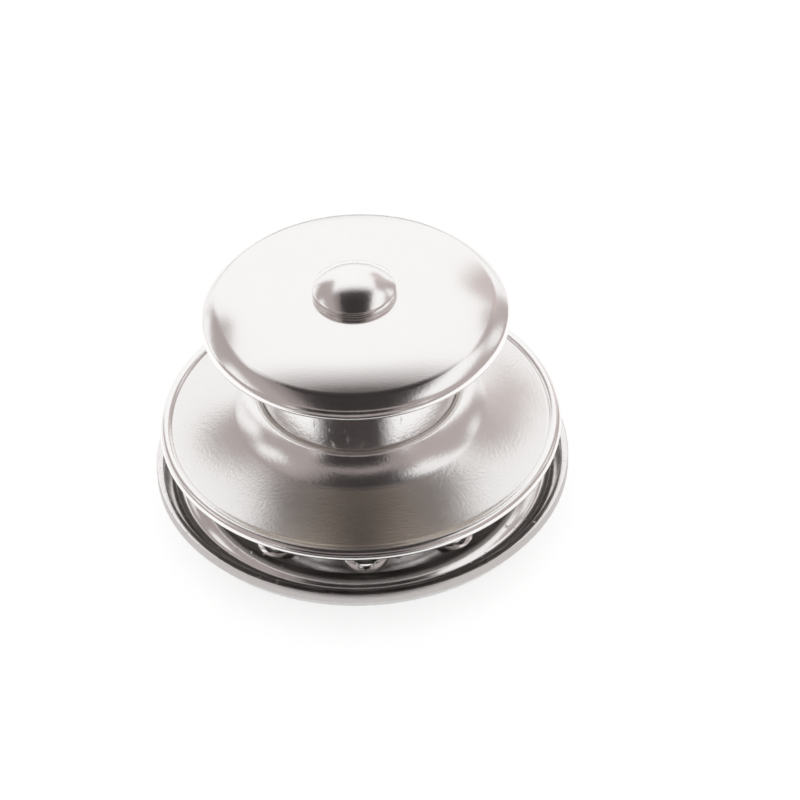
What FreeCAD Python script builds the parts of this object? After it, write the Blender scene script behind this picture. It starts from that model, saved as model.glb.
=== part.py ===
import FreeCAD, Part
import math
import os
import Sketcher

# Pull-to-release snap fastener for fabric, socket side.
# A knob lifts a sleeve inside the neck. The sleeve lets six balls move out, which frees the stud.
# Lengths are millimetres. The stem's end face is at height 0 and the axis of the part is Z.

SIZES = {
    # Fits
    "running_gap": 0.05,
    "press_gap": 0.02,
    # Socket for the stud, and the ring that guides the stud in
    "socket_radius": 2.7,
    "socket_mouth": 0.3,
    "lip_thickness": 0.3,
    "lip_reach": 0.25,
    "guide_thickness": 1.0,
    # Tube that holds the balls
    "cage_flange": 0.5,
    "cage_relief": 0.3,
    "cage_wall": 0.32,
    "cage_ledge": 0.15,
    "cage_head": 1.85,
    "ball_radius": 0.65,
    "ball_reach": 0.35,
    "ball_gap": 0.01,
    "ball_count": 6,
    # Sleeve round the balls
    "pull_travel": 1.5,
    "sleeve_gap": 0.15,
    "sleeve_wall": 0.2,
    "sleeve_step": 0.25,
    "sleeve_skirt": 1.65,
    "cone_slope": 0.24,
    "cone_foot": 0.3,
    "land_start": 0.2,
    "web_thickness": 0.7,
    "rivet_room": 1.0,
    # Threaded stem and neck, one turned piece
    "stem_wall": 0.9,
    "stem_chamfer": 0.35,
    "shoulder_height": 5.95,
    "neck_wall": 0.77,
    "neck_edge": 0.25,
    "roof_thickness": 1.05,
    "spring_room": 3.4,
    # Return spring
    "spring_wire": 0.35,
    "spring_radius": 2.6,
    "spring_turns": 4.5,
    "spring_end_gap": 0.02,
    # Pull pin and its rivet washer
    "pin_radius": 1.0,
    "tenon_radius": 0.75,
    "rivet_radius": 1.15,
    "rivet_height": 0.3,
    "washer_thickness": 0.3,
    "pin_washer_radius": 1.9,
    "head_radius": 2.05,
    "head_dome": 0.7,
    "head_collar": 0.16,
    "head_groove": 0.12,
    "head_edge": 0.06,
    "groove_depth": 0.18,
    # Knob: a domed cap curled round a back plate
    "knob_radius": 7.62,
    "knob_sheet": 0.4,
    "knob_crown": 0.73,
    "rim_side": 0.5,
    "rim_width": 0.75,
    "rim_rise": 0.37,
    "rim_under": 0.35,
    "curl_thickness": 0.35,
    "curl_width": 0.75,
    "plate_thickness": 0.3,
    "plate_inset": 0.45,
    "head_seat": 0.25,
    # Flange shell
    "flange_radius": 10.0,
    "flange_drop": 1.1,
    "flange_sheet": 0.5,
    "bead_radius": 0.32,
    "hem_width": 1.1,
    "hem_sheet": 0.3,
    "collar_wall": 0.24,
    "collar_rise": 1.37,
    "collar_height": 0.14,
    "collar_edge": 0.08,
    "flare_run": 0.98,
    "flare_knee_rise": 0.02,
    "flare_upper_sag": 0.122,
    "flare_lower_sag": 0.107,
    "seat_overhang": 0.3,
    # Claw washer below the fabric
    "fabric_gap": 1.83,
    "washer_clearance": 0.15,
    "washer_sheet": 0.55,
    "washer_rim": 0.35,
    "washer_wall_run": 0.5,
    "washer_wall_drop": 0.8,
    "trough_width": 0.6,
    "trough_sag": 0.12,
    "trough_rise": 0.35,
    "plateau_slope_run": 0.6,
    "claw_count": 10,
    "claw_hole": 0.78,
    "claw_base": 1.15,
    "claw_edge": 0.12,
    "claw_height": 0.45,
    "claw_notch": 0.9,
    "claw_notch_lift": 0.55,
    "claw_margin": 0.1,
    "claw_inset": 0.5,
    # Ring nut
    "nut_width": 1.7,
    "nut_thickness": 1.3,
    "nut_chamfer": 0.2,
    "nut_slot_count": 4,
    "nut_slot_width": 1.2,
    "nut_slot_depth": 0.5,
    "nut_slot_length": 1.0,
}

# Turn of the knob's rim, from its widest point up to the flatter part, in degrees.
RIM_TURN = 50.0
# Turn of the flange's bead, from level to the crease, in degrees.
CREASE_TURN = 30.0
# How a folded sheet's inner corner moves for each unit of thickness, as (outwards, down).
KNEE_SHIFT = (-0.42, 0.906)
HEM_SHIFT = (0.0, 0.8)
WASHER_RIM_SHIFT = (0.545, 1.0)
TROUGH_OUTER_SHIFT = (0.85, 0.53)
TROUGH_INNER_SHIFT = (-0.447, 0.894)
PLATEAU_SHIFT = (-0.236, 1.0)

# How far a bowed side stands off its chord, as a share of the rise that it makes.
CROWN_BOW = 0.25
RIM_BOW = 0.058
RIVET_BOW = 0.333
INNER_FLARE_BOW = 0.333
LIP_BOW = 0.5
TROUGH_UNDER_BOW = 2.0

# The hidden spring's wire is drawn with this many flats.
WIRE_SIDES = 8

LEFT = 1
RIGHT = -1

os.makedirs("parts", exist_ok=True)

doc = FreeCAD.newDocument("snap_fastener")
sheet = doc.addObject("Spreadsheet::Sheet", "sizes")
for row, (alias, number) in enumerate(SIZES.items(), start=1):
    sheet.set("A%d" % row, alias)
    sheet.set("B%d" % row, str(number))
    sheet.setAlias("B%d" % row, alias)
doc.recompute()


class Size:
    """A length or a ratio: its value, and the sheet formula that gives it."""

    def __init__(self, value, formula):
        self.value = value
        self.formula = formula

    def __add__(self, other):
        other = as_size(other)
        return Size(self.value + other.value, "(%s + %s)" % (self.formula, other.formula))

    def __sub__(self, other):
        other = as_size(other)
        return Size(self.value - other.value, "(%s - %s)" % (self.formula, other.formula))

    def __mul__(self, other):
        other = as_size(other)
        return Size(self.value * other.value, "(%s * %s)" % (self.formula, other.formula))

    def __truediv__(self, other):
        other = as_size(other)
        return Size(self.value / other.value, "(%s / %s)" % (self.formula, other.formula))

    def root(self):
        return Size(math.sqrt(self.value), "sqrt(%s)" % self.formula)


def as_size(number):
    if isinstance(number, Size):
        return number
    return Size(float(number), "(%s)" % repr(float(number)))


def cell(alias):
    return Size(float(SIZES[alias]), "%s.%s" % (sheet.Name, alias))


def arc_radius(start, end, sag):
    """Radius of the arc between two points that stands off its chord by sag."""
    run = end[0] - start[0]
    rise = end[1] - start[1]
    return ((run * run + rise * rise) / 4 + sag * sag) / (sag * 2)


def cap_radius(reach, height):
    """Radius of the ball whose cap is this wide from its middle and this high."""
    return (reach * reach + height * height) / (height * 2)


def shifted(point, shift, thickness):
    """The corner on a sheet's other side."""
    return point[0] + thickness * shift[0], point[1] - thickness * shift[1]


class Outline:
    """A closed outline of lines and arcs whose corners are all set from the sheet."""

    def __init__(self, start):
        self.corners = [start]
        self.sides = []

    def line(self, point):
        self.sides.append(None)
        self.corners.append(point)

    def arc(self, point, radius, turn):
        self.sides.append((as_size(radius), turn))
        self.corners.append(point)

    def bow(self, point, sag, turn):
        self.arc(point, arc_radius(self.corners[-1], point, sag), turn)

    def close(self):
        self.sides.append(None)
        return self

    def draw(self, sketch):
        starts = []
        ends = []
        count = len(self.corners)
        for index, side in enumerate(self.sides):
            start = flat_point(self.corners[index])
            end = flat_point(self.corners[(index + 1) % count])
            if side is None:
                edge = sketch.addGeometry(Part.LineSegment(start, end), False)
                starts.append((edge, 1))
                ends.append((edge, 2))
                continue
            radius, turn = side
            edge = sketch.addGeometry(flat_arc(start, end, radius.value, turn), False)
            starts.append((edge, 1 if turn == LEFT else 2))
            ends.append((edge, 2 if turn == LEFT else 1))
        for index in range(count):
            edge, end = starts[index]
            last_edge, last_end = ends[index - 1]
            sketch.addConstraint(Sketcher.Constraint("Coincident", last_edge, last_end, edge, end))
            pin_point(sketch, edge, end, self.corners[index])
        for index, side in enumerate(self.sides):
            if side is not None:
                bind(sketch, Sketcher.Constraint("Radius", starts[index][0], side[0].value), side[0])


def flat_point(corner):
    return FreeCAD.Vector(as_size(corner[0]).value, as_size(corner[1]).value, 0)


def flat_arc(start, end, radius, turn):
    """The shorter arc of this radius from start to end, turning to the left or to the right."""
    chord = end - start
    half = chord.Length / 2
    normal = FreeCAD.Vector(-chord.y, chord.x, 0).normalize()
    centre = (start + end) / 2 + normal * (turn * math.sqrt(radius ** 2 - half ** 2))
    first, last = (start, end) if turn == LEFT else (end, start)
    first_angle = math.atan2(first.y - centre.y, first.x - centre.x)
    last_angle = math.atan2(last.y - centre.y, last.x - centre.x)
    circle = Part.Circle(centre, FreeCAD.Vector(0, 0, 1), radius)
    return Part.ArcOfCircle(circle, first_angle, last_angle)


def bind(sketch, constraint, size):
    index = sketch.addConstraint(constraint)
    sketch.setExpression("Constraints[%d]" % index, size.formula)


def pin_point(sketch, edge, end, corner):
    """Holds a point at a radius and a height; a zero lies on the sketch's own axis."""
    for kind, axis, amount in (("DistanceX", -2, corner[0]), ("DistanceY", -1, corner[1])):
        amount = as_size(amount)
        if amount.value == 0:
            sketch.addConstraint(Sketcher.Constraint("PointOnObject", edge, end, axis))
        elif amount.value > 0:
            bind(sketch, Sketcher.Constraint(kind, -1, 1, edge, end, amount.value), amount)
        else:
            amount = amount * -1
            bind(sketch, Sketcher.Constraint(kind, edge, end, -1, 1, amount.value), amount)


def pinned_circle(sketch, centre, radius):
    edge = sketch.addGeometry(Part.Circle(flat_point(centre), FreeCAD.Vector(0, 0, 1), radius.value))
    pin_point(sketch, edge, 3, centre)
    bind(sketch, Sketcher.Constraint("Radius", edge, radius.value), radius)


def origin_part(body, role):
    for feature in body.Origin.OriginFeatures:
        if feature.Role == role:
            return feature
    raise ValueError("no " + role)


def sketch_on(body, role, name):
    sketch = body.newObject("Sketcher::SketchObject", name)
    sketch.AttachmentSupport = [(origin_part(body, role), "")]
    sketch.MapMode = "FlatFace"
    return sketch


def turned(name, outline, role="XZ_Plane"):
    """A body made by turning one outline round the part's axis."""
    body = doc.addObject("PartDesign::Body", name)
    body.Label = name
    section = sketch_on(body, role, name + "_section")
    outline.draw(section)
    revolution = body.newObject("PartDesign::Revolution", name + "_turn")
    revolution.Profile = section
    revolution.ReferenceAxis = (section, ["V_Axis"])
    revolution.Angle = 360
    return body


def pocket(body, sketch, name, depth, reverse):
    """A blind cut, which has to take something off the body."""
    doc.recompute()
    before = body.Shape.Volume
    cut = body.newObject("PartDesign::Pocket", name)
    cut.Profile = sketch
    cut.Type = "Length"
    cut.setExpression("Length", depth.formula)
    cut.Reversed = reverse
    doc.recompute()
    if cut.Shape.Volume >= before:
        raise ValueError(name + " cuts nothing")
    return cut


def repeated(body, features, name, count):
    pattern = body.newObject("PartDesign::PolarPattern", name)
    pattern.Originals = features
    pattern.Axis = (origin_part(body, "Z_Axis"), [""])
    pattern.Angle = 360
    pattern.setExpression("Occurrences", count.formula)
    body.Tip = pattern


# Fits and the nest of parts inside the stem, from the socket outwards
running_gap = cell("running_gap")
press_gap = cell("press_gap")
socket_radius = cell("socket_radius")
cage_bore = socket_radius + cell("cage_relief")
cage_radius = cage_bore + cell("cage_wall")
ball_radius = cell("ball_radius")
ball_circle = socket_radius - cell("ball_reach") + ball_radius
cone_slope = cell("cone_slope")
cone_lean = (cone_slope * cone_slope + 1).root()
cone_radius = ball_circle + (ball_radius + cell("ball_gap")) * cone_lean
pull_travel = cell("pull_travel")
cone_drop = pull_travel + cell("cone_foot")
cone_foot_radius = cone_radius + cone_slope * cone_drop
sleeve_radius = cone_foot_radius + cell("sleeve_wall")
lower_cavity = sleeve_radius + running_gap
upper_cavity = lower_cavity - cell("sleeve_step")
stem_radius = lower_cavity + cell("stem_wall")
neck_radius = upper_cavity + cell("neck_wall")
cage_seat_radius = lower_cavity + cell("cage_ledge")
lip_radius = cage_seat_radius - cell("lip_reach")

# Heights, from the stem's end face up
guide_foot = cell("lip_thickness")
cage_foot = guide_foot + cell("guide_thickness")
cage_seat = cage_foot + cell("cage_flange")
sleeve_foot = cage_seat + cell("sleeve_gap")
ball_height = sleeve_foot + cone_drop
cage_top = ball_height + cell("cage_head")
sleeve_shoulder = ball_height + cell("sleeve_skirt")
cavity_shoulder = sleeve_shoulder + pull_travel + running_gap
web_foot = cage_top + cell("rivet_room")
web_top = web_foot + cell("web_thickness")
roof_foot = web_top + cell("spring_room")
neck_top = roof_foot + cell("roof_thickness")
shoulder_height = cell("shoulder_height")

# Pin and knob heights
pin_radius = cell("pin_radius")
plate_foot = neck_top + running_gap
plate_top = plate_foot + cell("plate_thickness")
knob_foot = plate_foot - cell("curl_thickness")
knob_radius = cell("knob_radius")
knob_equator = knob_foot + cell("rim_under")


def lock_housing():
    """Stem, shoulder and neck, turned from one bar and bored from below."""
    chamfer = cell("stem_chamfer")
    edge = cell("neck_edge")
    pin_hole = pin_radius + running_gap
    outline = Outline((lip_radius, 0))
    outline.line((stem_radius - chamfer, 0))
    outline.line((stem_radius, chamfer))
    outline.line((stem_radius, shoulder_height))
    outline.line((neck_radius, shoulder_height))
    outline.line((neck_radius, neck_top - edge))
    outline.arc((neck_radius - edge, neck_top), edge, LEFT)
    outline.line((pin_hole, neck_top))
    outline.line((pin_hole, roof_foot))
    outline.line((upper_cavity, roof_foot))
    outline.line((upper_cavity, cavity_shoulder))
    outline.line((lower_cavity, cavity_shoulder))
    outline.line((lower_cavity, cage_seat))
    outline.line((cage_seat_radius, cage_seat))
    outline.line((cage_seat_radius, guide_foot))
    outline.line((lip_radius, guide_foot))
    return turned("lock_housing", outline.close())


def stud_guide():
    """Ring at the mouth of the socket, held up by the housing's rolled lip."""
    mouth = cell("socket_mouth")
    outer = cage_seat_radius - press_gap
    foot_radius = lip_radius - press_gap
    outline = Outline((socket_radius + mouth, 0))
    outline.line((foot_radius, 0))
    outline.line((foot_radius, guide_foot))
    outline.line((outer, guide_foot))
    outline.line((outer, cage_foot))
    outline.line((socket_radius, cage_foot))
    outline.line((socket_radius, mouth))
    return turned("stud_guide", outline.close())


def ball_cage():
    """Flanged tube with one radial hole for each ball."""
    outer = cage_seat_radius - press_gap
    outline = Outline((cage_bore, cage_foot))
    outline.line((outer, cage_foot))
    outline.line((outer, cage_seat))
    outline.line((cage_radius, cage_seat))
    outline.line((cage_radius, cage_top))
    outline.line((cage_bore, cage_top))
    body = turned("ball_cage", outline.close())
    hole_sketch = sketch_on(body, "YZ_Plane", "ball_hole_circle")
    pinned_circle(hole_sketch, (0, ball_height), ball_radius + running_gap)
    hole = pocket(body, hole_sketch, "ball_hole", cage_radius + press_gap, True)
    repeated(body, [hole], "ball_holes", cell("ball_count"))
    return body


def lock_balls():
    """Steel balls, locked in, each in its own hole of the cage."""
    balls = []
    for index in range(int(SIZES["ball_count"])):
        ball = doc.addObject("Part::Sphere", "lock_ball_%d" % (index + 1))
        turn = "(%d * 360deg / %s)" % (index, cell("ball_count").formula)
        ball.setExpression("Radius", ball_radius.formula)
        ball.setExpression("Placement.Base.x", "%s * cos(%s)" % (ball_circle.formula, turn))
        ball.setExpression("Placement.Base.y", "%s * sin(%s)" % (ball_circle.formula, turn))
        ball.setExpression("Placement.Base.z", ball_height.formula)
        balls.append(ball)
    return balls


def locking_sleeve():
    """Sliding cup whose cone holds the balls in, and lets them out as it rises."""
    land_height = ball_height + cell("land_start")
    land_radius = cone_radius - cone_slope * cell("land_start")
    upper_radius = upper_cavity - running_gap
    tenon_hole = cell("tenon_radius") + running_gap
    outline = Outline((cone_foot_radius, sleeve_foot))
    outline.line((sleeve_radius, sleeve_foot))
    outline.line((sleeve_radius, sleeve_shoulder))
    outline.line((upper_radius, sleeve_shoulder))
    outline.line((upper_radius, web_top))
    outline.line((tenon_hole, web_top))
    outline.line((tenon_hole, web_foot))
    outline.line((land_radius, web_foot))
    outline.line((land_radius, land_height))
    return turned("locking_sleeve", outline.close())


def return_spring():
    """Round wire coiled between the sleeve's web and the housing's roof."""
    wire = cell("spring_wire")
    radius = cell("spring_radius")
    first = web_top + wire / 2 + cell("spring_end_gap")
    last = roof_foot - wire / 2 - cell("spring_end_gap")
    height = last - first
    coil = doc.addObject("Part::Helix", "spring_line")
    coil.setExpression("Pitch", (height / cell("spring_turns")).formula)
    coil.setExpression("Height", height.formula)
    coil.setExpression("Radius", radius.formula)
    coil.setExpression("Placement.Base.z", first.formula)
    section = doc.addObject("Part::RegularPolygon", "spring_section")
    section.Polygon = WIRE_SIDES
    section.Placement.Rotation = FreeCAD.Rotation(FreeCAD.Vector(1, 0, 0), 90)
    section.setExpression("Circumradius", (wire / 2).formula)
    section.setExpression("Placement.Base.x", radius.formula)
    section.setExpression("Placement.Base.z", first.formula)
    spring = doc.addObject("Part::Sweep", "return_spring")
    spring.Sections = [section]
    spring.Spine = coil
    spring.Solid = True
    spring.Frenet = True
    return spring


def knob_crest():
    """Height of the knob's flat middle, where the pin's head sits."""
    side = math.sin(math.radians(RIM_TURN))
    return knob_equator + cell("rim_side") * side + cell("rim_rise") + cell("knob_crown")


def knob_cap():
    """Pressed cap: flat seat, shallow crown, rolled rim, and an edge curled under the plate."""
    sheet_wall = cell("knob_sheet")
    side_radius = cell("rim_side")
    under = cell("rim_under")
    crest = knob_crest()
    hole = pin_radius + press_gap
    seat = cell("head_radius") + cell("head_seat")
    rim_centre = knob_radius - side_radius
    turn_out = math.cos(math.radians(RIM_TURN))
    turn_up = math.sin(math.radians(RIM_TURN))
    shoulder = (rim_centre + side_radius * turn_out, knob_equator + side_radius * turn_up)
    rim_top = (knob_radius - cell("rim_width"), shoulder[1] + cell("rim_rise"))
    curl_radius = knob_radius - under - cell("curl_width")
    plate_room = knob_radius - under - cell("plate_inset")
    outline = Outline((hole, crest - sheet_wall))
    outline.line((seat, crest - sheet_wall))
    outline.bow((plate_room, shoulder[1]), cell("knob_crown") * CROWN_BOW, RIGHT)
    outline.line((plate_room, plate_foot))
    outline.line((curl_radius, plate_foot))
    outline.line((curl_radius, knob_foot))
    outline.line((knob_radius - under, knob_foot))
    outline.arc((knob_radius, knob_equator), under, LEFT)
    outline.arc(shoulder, side_radius, LEFT)
    outline.bow(rim_top, cell("rim_rise") * RIM_BOW, LEFT)
    outline.bow((seat, crest), cell("knob_crown") * CROWN_BOW, LEFT)
    outline.line((hole, crest))
    return turned("knob_cap", outline.close())


def knob_back_plate():
    """Disc inside the cap's curl, with a hub that the pin's head clamps the cap to."""
    crest = knob_crest()
    hole = pin_radius + press_gap
    edge = knob_radius - cell("rim_under") - cell("plate_inset") - press_gap
    outline = Outline((hole, plate_foot))
    outline.line((edge, plate_foot))
    outline.line((edge, plate_top))
    outline.line((cell("head_radius"), plate_top))
    outline.line((cell("head_radius"), crest - cell("knob_sheet")))
    outline.line((hole, crest - cell("knob_sheet")))
    return turned("knob_back_plate", outline.close())


def pull_pin():
    """Domed head with a grooved collar, shank, and a tenon riveted over below the web."""
    crest = knob_crest()
    head_radius = cell("head_radius")
    tenon = cell("tenon_radius")
    collar_top = crest + cell("head_collar")
    groove_top = collar_top + cell("head_groove")
    dome_foot = groove_top + cell("head_edge")
    groove_radius = head_radius - cell("groove_depth")
    shank_foot = web_top + running_gap
    rivet_top = web_foot - running_gap - cell("washer_thickness")
    rivet_foot = rivet_top - cell("rivet_height")
    dome_top = (0, dome_foot + cell("head_dome"))
    outline = Outline((0, rivet_foot))
    outline.bow((cell("rivet_radius"), rivet_top), cell("rivet_height") * RIVET_BOW, LEFT)
    outline.line((tenon, rivet_top))
    outline.line((tenon, shank_foot))
    outline.line((pin_radius, shank_foot))
    outline.line((pin_radius, crest))
    outline.line((head_radius, crest))
    outline.line((head_radius, collar_top))
    outline.line((groove_radius, collar_top))
    outline.line((groove_radius, groove_top))
    outline.line((head_radius, groove_top))
    outline.line((head_radius, dome_foot))
    outline.arc(dome_top, cap_radius(head_radius, cell("head_dome")), LEFT)
    return turned("pull_pin", outline.close())


def pin_washer():
    """Washer between the sleeve's web and the riveted end of the pin."""
    top = web_foot - running_gap
    foot = top - cell("washer_thickness")
    hole = cell("tenon_radius") + press_gap
    outer = cell("pin_washer_radius")
    outline = Outline((hole, foot))
    outline.line((outer, foot))
    outline.line((outer, top))
    outline.line((hole, top))
    return turned("pin_washer", outline.close())


# Flange shell
flange_radius = cell("flange_radius")
flange_sheet = cell("flange_sheet")
bead_radius = cell("bead_radius")
bead_centre = flange_radius - bead_radius
flange_equator = shoulder_height - cell("flange_drop")
flange_foot = flange_equator - bead_radius


def flange_shell():
    """Bell-shaped pressing with a rounded collar at the neck and a beaded, hemmed rim."""
    edge = cell("collar_edge")
    collar_inner = neck_radius + press_gap
    collar_outer = collar_inner + cell("collar_wall")
    collar_top = shoulder_height + cell("collar_rise")
    knee = (stem_radius + cell("flare_run"), shoulder_height + cell("flare_knee_rise"))
    crease_out = math.cos(math.radians(CREASE_TURN))
    crease_up = math.sin(math.radians(CREASE_TURN))
    crease = (bead_centre - bead_radius * crease_out, flange_equator + bead_radius * crease_up)
    hem_end = bead_centre - cell("hem_width")
    hem_top = shifted((hem_end, crease[1]), HEM_SHIFT, flange_sheet)
    outline = Outline((collar_inner, shoulder_height))
    outline.line((stem_radius + cell("seat_overhang"), shoulder_height))
    outline.bow(shifted(knee, KNEE_SHIFT, flange_sheet), cell("flare_upper_sag") * INNER_FLARE_BOW, LEFT)
    outline.bow(hem_top, cell("flare_lower_sag"), LEFT)
    outline.line((hem_end, hem_top[1] - cell("hem_sheet")))
    outline.line((bead_centre, flange_foot))
    outline.arc((flange_radius, flange_equator), bead_radius, LEFT)
    outline.arc((bead_centre, flange_equator + bead_radius), bead_radius, LEFT)
    outline.arc(crease, bead_radius, LEFT)
    outline.bow(knee, cell("flare_lower_sag"), RIGHT)
    outline.bow((collar_outer, collar_top - cell("collar_height")), cell("flare_upper_sag"), RIGHT)
    outline.line((collar_outer, collar_top - edge))
    outline.arc((collar_outer - edge, collar_top), edge, LEFT)
    outline.line((collar_inner + edge, collar_top))
    outline.arc((collar_inner, collar_top - edge), edge, LEFT)
    return turned("flange_shell", outline.close())


# Claw washer and ring nut
washer_bore = stem_radius + cell("washer_clearance")
washer_sheet = cell("washer_sheet")
claw_circle = washer_bore + cell("claw_base") + cell("claw_inset")
washer_top = flange_foot - cell("fabric_gap")
trough_outer_height = washer_top - cell("washer_wall_drop")
trough_inner_height = trough_outer_height
plateau_height = trough_inner_height + cell("trough_rise") - cell("claw_margin") / 2
plateau_radius = claw_circle + cell("claw_base") + cell("claw_margin") / 2
trough_inner = plateau_radius + cell("plateau_slope_run")
trough_outer = trough_inner + cell("trough_width")
washer_shoulder = trough_outer + cell("washer_wall_run")
washer_radius = washer_shoulder + cell("washer_rim")


def claw_washer():
    """Dished washer with a trough, and pierced holes whose lips bite into the fabric."""
    rim = (washer_shoulder, washer_top)
    outer = (trough_outer, trough_outer_height)
    inner = (trough_inner, trough_inner_height)
    plateau = (plateau_radius, plateau_height)
    outer_under = shifted(outer, TROUGH_OUTER_SHIFT, washer_sheet)
    inner_under = shifted(inner, TROUGH_INNER_SHIFT, washer_sheet)
    outline = Outline((washer_bore, plateau_height - washer_sheet))
    outline.line(shifted(plateau, PLATEAU_SHIFT, washer_sheet))
    outline.line(inner_under)
    outline.bow(outer_under, cell("trough_sag") * TROUGH_UNDER_BOW, LEFT)
    outline.line(shifted(rim, WASHER_RIM_SHIFT, washer_sheet))
    outline.line((washer_radius, washer_top - washer_sheet))
    outline.line((washer_radius, washer_top))
    outline.line(rim)
    outline.line(outer)
    outline.bow(inner, cell("trough_sag"), RIGHT)
    outline.line(plateau)
    outline.line((washer_bore, plateau_height))
    body = turned("claw_washer", outline.close(), "YZ_Plane")
    lip = claw_lip(body)
    hole_sketch = sketch_on(body, "XY_Plane", "claw_hole_circle")
    pinned_circle(hole_sketch, (0, claw_circle), cell("claw_hole"))
    hole = pocket(body, hole_sketch, "claw_hole", washer_top + washer_sheet, True)
    notch_sketch = sketch_on(body, "XZ_Plane", "claw_notch_circle")
    notch_start = claw_circle + cell("claw_base") + cell("claw_margin") / 2
    notch_sketch.setExpression("AttachmentOffset.Base.z", "-1 * %s" % notch_start.formula)
    notch_height = plateau_height + cell("claw_height") + cell("claw_notch_lift")
    pinned_circle(notch_sketch, (0, notch_height), cell("claw_notch"))
    notch_length = (cell("claw_base") + cell("claw_margin")) * 2
    notch = pocket(body, notch_sketch, "claw_notch", notch_length, True)
    repeated(body, [lip, hole, notch], "claws", cell("claw_count"))
    return body


def claw_lip(body):
    """The collar of metal that piercing pushes up round one hole."""
    sketch = sketch_on(body, "YZ_Plane", "claw_lip_section")
    top = plateau_height + cell("claw_height")
    root = plateau_height - washer_sheet / 2
    inner = claw_circle + cell("claw_hole") - cell("claw_edge")
    outline = Outline((inner, root))
    outline.line((claw_circle + cell("claw_base"), root))
    outline.line((claw_circle + cell("claw_base"), plateau_height))
    crown = (claw_circle + cell("claw_hole") + cell("claw_edge"), top)
    outline.bow(crown, cell("claw_edge") * LIP_BOW, RIGHT)
    outline.line((inner, top))
    outline.close().draw(sketch)
    axis_foot = flat_point((claw_circle, root))
    axis_head = flat_point((claw_circle, top))
    axis = sketch.addGeometry(Part.LineSegment(axis_foot, axis_head), True)
    pin_point(sketch, axis, 1, (claw_circle, root))
    pin_point(sketch, axis, 2, (claw_circle, top))
    lip = body.newObject("PartDesign::Revolution", "claw_lip")
    lip.Profile = sketch
    lip.ReferenceAxis = (sketch, ["Axis0"])
    lip.Angle = 360
    return lip


def ring_nut():
    """Thin round nut that screws up the stem under the claw washer."""
    bore = stem_radius + running_gap
    outer = bore + cell("nut_width")
    chamfer = cell("nut_chamfer")
    top = plateau_height - washer_sheet
    foot = top - cell("nut_thickness")
    slot_depth = cell("nut_slot_depth")
    outline = Outline((bore, foot))
    outline.line((outer - chamfer, foot))
    outline.line((outer, foot + chamfer))
    outline.line((outer, top))
    outline.line((bore, top))
    body = turned("ring_nut", outline.close())
    half = cell("nut_slot_width") / 2
    slot_sketch = sketch_on(body, "YZ_Plane", "nut_slot_section")
    slot_start = outer - cell("nut_slot_length")
    slot_sketch.setExpression("AttachmentOffset.Base.z", slot_start.formula)
    slot = Outline((half * -1, foot - slot_depth))
    slot.line((half, foot - slot_depth))
    slot.line((half, foot + slot_depth))
    slot.line((half * -1, foot + slot_depth))
    slot.close().draw(slot_sketch)
    first_slot = pocket(body, slot_sketch, "nut_slot", cell("nut_slot_length") + chamfer, True)
    repeated(body, [first_slot], "nut_slots", cell("nut_slot_count"))
    return body


pieces = [
    lock_housing(),
    stud_guide(),
    ball_cage(),
    locking_sleeve(),
    return_spring(),
    knob_cap(),
    knob_back_plate(),
    pull_pin(),
    pin_washer(),
    flange_shell(),
    claw_washer(),
    ring_nut(),
]
pieces.extend(lock_balls())
doc.recompute()

for item in doc.Objects:
    if "Invalid" in item.State or "Error" in item.State:
        raise ValueError("%s did not build: %s" % (item.Name, item.State))
for piece in pieces:
    if piece.Shape.isNull() or not piece.Shape.isValid():
        raise ValueError(piece.Label + " has no valid shape")
    print(piece.Label, len(piece.Shape.Solids), round(piece.Shape.Volume, 3))
for piece in pieces:
    piece.Shape.exportStep(os.path.join("parts", piece.Label + ".step"))
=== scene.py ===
import math

import bpy
from mathutils import Matrix, Vector


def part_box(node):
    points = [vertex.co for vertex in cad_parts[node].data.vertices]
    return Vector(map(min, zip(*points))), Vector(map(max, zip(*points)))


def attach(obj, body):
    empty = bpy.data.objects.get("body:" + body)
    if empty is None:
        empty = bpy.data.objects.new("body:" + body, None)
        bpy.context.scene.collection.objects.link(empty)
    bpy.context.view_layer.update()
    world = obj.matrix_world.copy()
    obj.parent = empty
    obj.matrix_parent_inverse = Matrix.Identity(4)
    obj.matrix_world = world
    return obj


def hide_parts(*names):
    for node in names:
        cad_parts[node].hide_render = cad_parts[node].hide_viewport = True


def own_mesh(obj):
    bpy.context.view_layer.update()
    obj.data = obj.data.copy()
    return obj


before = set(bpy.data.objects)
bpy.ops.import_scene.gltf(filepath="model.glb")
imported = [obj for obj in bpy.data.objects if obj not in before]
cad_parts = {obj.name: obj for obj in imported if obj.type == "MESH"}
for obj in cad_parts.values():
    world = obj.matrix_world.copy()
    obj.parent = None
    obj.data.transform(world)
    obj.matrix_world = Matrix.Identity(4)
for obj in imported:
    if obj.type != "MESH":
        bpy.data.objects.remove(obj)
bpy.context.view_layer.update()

MM = 0.001


# Sizes in millimetres, read from the frame


def low(node):
    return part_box(node)[0] / MM


def high(node):
    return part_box(node)[1] / MM


AROUND = 256
AROUND_INSIDE = 160
RUNNING_GAP = 0.05
PRESS_GAP = 0.02
NECK_RADIUS = 4.8807
SHOULDER_HEIGHT = 5.95


# Outlines: (radius, height) points, drawn anticlockwise, with the axis on the left


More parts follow.
